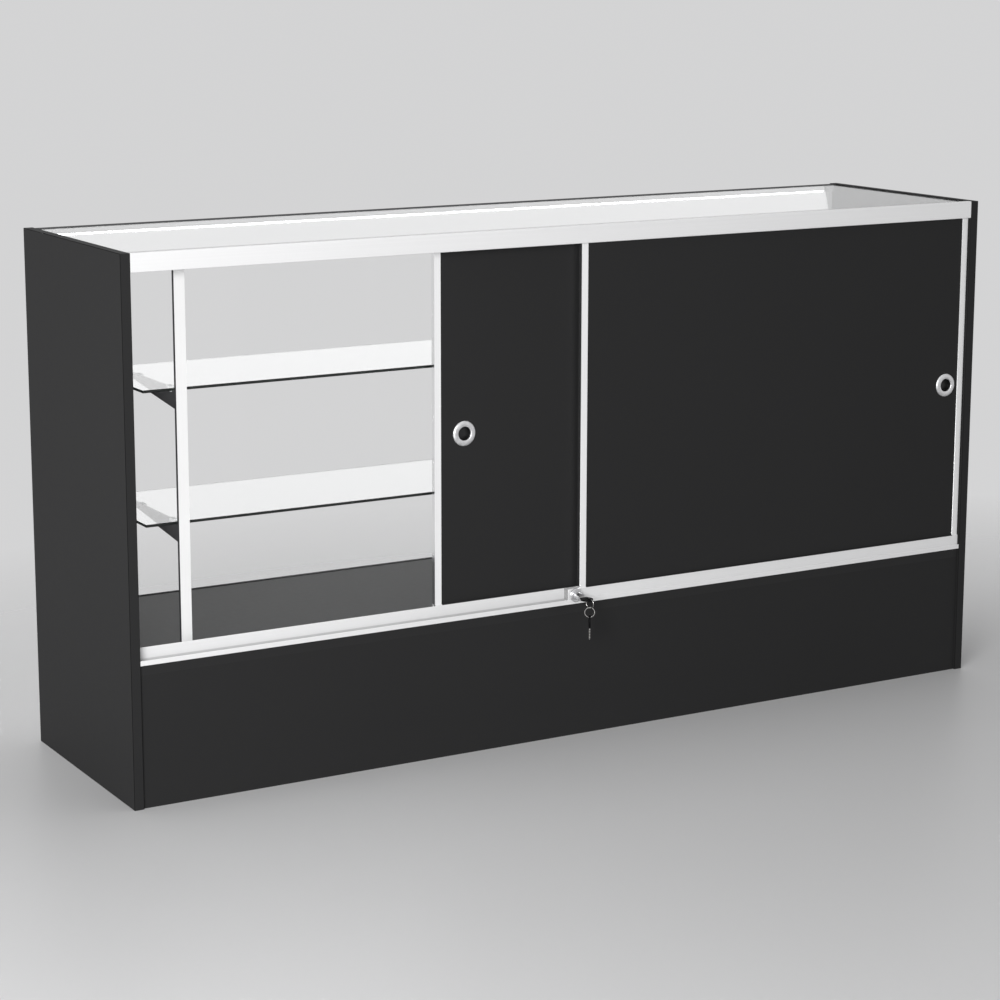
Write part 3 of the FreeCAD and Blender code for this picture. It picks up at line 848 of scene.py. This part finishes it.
class COUNTER_OT_lock_keys(CounterOperator, bpy.types.Operator):
    """Add the lock's collar and the split rings, and finish the lock and the keys"""

    bl_idname = "counter.lock_keys"
    bl_label = "Lock and keys"

    def execute(self, context):
        chrome = bright_plate("lock_chrome", self.finishes.chrome, rough=0.20)
        nickel = bright_plate("key_nickel", self.finishes.nickel, rough=0.16)
        black = moulded_plastic("bow_plastic", self.finishes.black_plastic, rough=0.5, gloss=0.05)
        finish_nodes(satin_aluminium("case_aluminium", self.finishes.aluminium, "X"), "lock_case")
        finish_nodes(chrome, "lock_barrel", "lock_plug")
        finish_nodes(nickel, "key_blade", "spare_key_blade", "key_ring_upper", "key_ring_lower")
        finish_nodes(black, "key_bow", "spare_key_bow")
        self.add_collar(chrome)
        for level in ("upper", "lower"):
            self.add_ring(level, nickel)
        return {"FINISHED"}

    def add_collar(self, material):
        """A flanged collar round the barrel, on the face of the lock's case."""
        sizes = self.details
        low, high = corners("lock_barrel")
        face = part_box("lock_case")[0][1]
        centre = Vector(((low.x + high.x) / 2, face, (low.z + high.z) / 2))
        inner = (high.x - low.x) / 2 + sizes.barrel_gap

        def build(form):
            turned_ring(form, centre, inner, sizes.collar_radius, sizes.collar_rise, COLLAR_SECTION,
                        COLLAR_SIDES)

        new_piece("lock_collar", mesh_from("lock_collar", build), "right_door", material)

    def add_ring(self, level, material):
        """A split ring in the place of a plain one."""
        node = "key_ring_" + level

        def build(form):
            split_ring(form, node, self.details.ring_wire, self.details.coil_gap)

        name = "split_ring_" + level
        ring = new_piece(name, mesh_from(name, build), "key_bunch", material)
        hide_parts(node)


class COUNTER_OT_screws(CounterOperator, bpy.types.Operator):
    """Drive the screws of the standards and of the door track"""

    bl_idname = "counter.screws"
    bl_label = "Screws"

    def execute(self, context):
        steel = bright_plate("screw_steel", self.finishes.nickel, rough=0.22)
        for name, build in (("standard_screws", self.standard_heads), ("track_screws", self.track_heads)):
            new_piece(name, mesh_from(name, build), "counter", steel)
        return {"FINISHED"}

    def standard_heads(self, form):
        """Pan heads near both ends of each standard, on its inner face."""
        sizes = self.details
        out = Vector((0, 1, 0))
        up = Vector((0, 0, 1))
        for standard in STANDARDS:
            low, high = corners(standard)
            for z in (low.z + sizes.screw_low, high.z - sizes.screw_high):
                seat = Vector(((low.x + high.x) / 2, high.y, z))
                screw_head(form, seat, out, up, sizes.screw_radius, sizes.screw_rise)

    def track_heads(self, form):
        """A row of low heads along the floor of each of the track's two lanes."""
        sizes = self.details
        out = Vector((0, 0, 1))
        side = Vector((1, 0, 0))
        low, high = corners("bottom_door_track")
        span = (high.x - low.x) / sizes.track_screws
        for lane in range(2):
            y = low.y + sizes.track_screw_front + lane * sizes.track_screw_pitch
            for number in range(sizes.track_screws):
                seat = Vector((low.x + span * (number + 0.5), y, low.z + sizes.track_floor))
                screw_head(form, seat, out, side, sizes.track_screw_radius, sizes.track_screw_rise)


class COUNTER_OT_stage(CounterOperator, bpy.types.Operator):
    """Lay the floor, light the studio and place the camera"""

    bl_idname = "counter.stage"
    bl_label = "Stage"

    def execute(self, context):
        studio = context.scene.counter_studio
        lay_floor(studio)
        light_world(context.scene, studio)
        place_lamp("key_lamp", studio.key_place, studio.key_size, studio.key_power)
        place_lamp("top_lamp", studio.top_place, studio.top_size, studio.top_power)
        place_lamp("far_lamp", studio.far_place, studio.far_size, studio.far_power)
        place_lamp("low_card", studio.low_place, studio.low_width, studio.low_power, studio.low_height)
        place_camera(context.scene, studio)
        context.scene.view_settings.view_transform = "Standard"
        return {"FINISHED"}


def lay_floor(studio):
    """A faintly mottled floor that fades into the backdrop."""
    material, tree, shader = new_finish("pale_floor")
    where = positions(tree)
    mottle = noise(tree, where, scale=1.2, detail=5.0)
    tone = blend_colours(tree, mottle, shade(studio.floor, 0.98), shade(studio.floor, 1.02))
    tree.links.new(tone, shader.inputs["Base Color"])
    shader.inputs["Roughness"].default_value = 0.42
    shader.inputs["Specular IOR Level"].default_value = 0.3
    away = add_node(tree, "ShaderNodeVectorMath", operation="DISTANCE")
    away.inputs[1].default_value = studio.floor_centre
    tree.links.new(where, away.inputs[0])
    fade = spread(tree, away.outputs["Value"], 0.0, 1.0, start=studio.floor_near, end=studio.floor_far)
    clear = add_node(tree, "ShaderNodeBsdfTransparent")
    blend_shaders(tree, fade, shader, clear, "Material Output")

    def build(form):
        bmesh.ops.create_circle(form, cap_ends=True, segments=FLOOR_SIDES, radius=studio.floor_radius)

    floor = bpy.data.objects.new("floor", mesh_from("floor", build))
    bpy.context.scene.collection.objects.link(floor)
    floor.data.materials.append(material)
    floor.location.z = CAD_BOX[0].z


def light_world(scene, studio):
    """Even light from all round, with the backdrop where it is seen, mirrored or looked at through glass."""
    world = bpy.data.worlds.new("studio")
    scene.world = world
    world.use_nodes = True
    tree = world.node_tree
    lit = tree.nodes["Background"]
    lit.inputs["Color"].default_value = (1.0, 1.0, 1.0, 1.0)
    lit.inputs["Strength"].default_value = studio.fill
    seen = add_node(tree, "ShaderNodeBackground", {"Color": (*studio.backdrop, 1.0), "Strength": 1.0})
    path = add_node(tree, "ShaderNodeLightPath")
    factor = path.outputs["Is Camera Ray"]
    for name in ("Is Glossy Ray", "Is Transmission Ray"):
        factor = combine(tree, "MAXIMUM", factor, path.outputs[name])
    blend_shaders(tree, factor, lit, seen, "World Output")


def place_lamp(name, spot, size, power, height=None):
    """A round lamp, or an oblong one where a height is given, aimed at the middle of the counter."""
    lamp = bpy.data.lights.new(name, "AREA")
    lamp.shape = "DISK"
    lamp.size = size
    if height:
        lamp.shape = "RECTANGLE"
        lamp.size_y = height
    lamp.energy = power
    holder = bpy.data.objects.new(name, lamp)
    bpy.context.scene.collection.objects.link(holder)
    holder.location = spot
    holder.visible_camera = False
    holder.visible_transmission = False
    aim = LAMP_AIM - Vector(spot)
    holder.rotation_euler = aim.to_track_quat("-Z", "Y").to_euler()


def place_camera(scene, studio):
    """The camera, turned towards +X and tilted down."""
    camera = bpy.data.cameras.new("camera")
    camera.lens = studio.lens
    camera.sensor_width = SENSOR_WIDTH
    camera.shift_x, camera.shift_y = studio.shift
    holder = bpy.data.objects.new("camera", camera)
    scene.collection.objects.link(holder)
    holder.location = studio.camera
    holder.rotation_euler = (math.pi / 2 - studio.pitch, 0.0, -studio.yaw)
    scene.camera = holder


OPERATORS = (COUNTER_OT_boards, COUNTER_OT_glass, COUNTER_OT_extrusions, COUNTER_OT_shelf_supports,
             COUNTER_OT_light_bar, COUNTER_OT_door_fittings, COUNTER_OT_lock_keys, COUNTER_OT_screws,
             COUNTER_OT_stage)


class COUNTER_PT_panel(bpy.types.Panel):
    """Lists the counter's operators and values"""

    bl_label = "Counter"
    bl_space_type = "VIEW_3D"
    bl_region_type = "UI"
    bl_category = "Counter"

    def draw(self, context):
        for operator in OPERATORS:
            self.layout.operator(operator.bl_idname)
        scene = context.scene
        for group in (scene.counter_finishes, scene.counter_details, scene.counter_studio):
            column = self.layout.column()
            for name in group.__annotations__:
                column.prop(group, name)


CLASSES = (CounterFinishes, CounterDetails, CounterStudio, *OPERATORS, COUNTER_PT_panel)


def register():
    for item in CLASSES:
        bpy.utils.register_class(item)
    bpy.types.Scene.counter_finishes = PointerProperty(type=CounterFinishes)
    bpy.types.Scene.counter_details = PointerProperty(type=CounterDetails)
    bpy.types.Scene.counter_studio = PointerProperty(type=CounterStudio)


def unregister():
    del bpy.types.Scene.counter_studio
    del bpy.types.Scene.counter_details
    del bpy.types.Scene.counter_finishes
    for item in reversed(CLASSES):
        bpy.utils.unregister_class(item)


def main():
    register()
    bpy.ops.counter.boards()
    bpy.ops.counter.glass()
    bpy.ops.counter.extrusions()
    bpy.ops.counter.shelf_supports()
    bpy.ops.counter.light_bar()
    bpy.ops.counter.door_fittings()
    bpy.ops.counter.lock_keys()
    bpy.ops.counter.screws()
    bpy.ops.counter.stage()


if __name__ == "__main__":
    main()
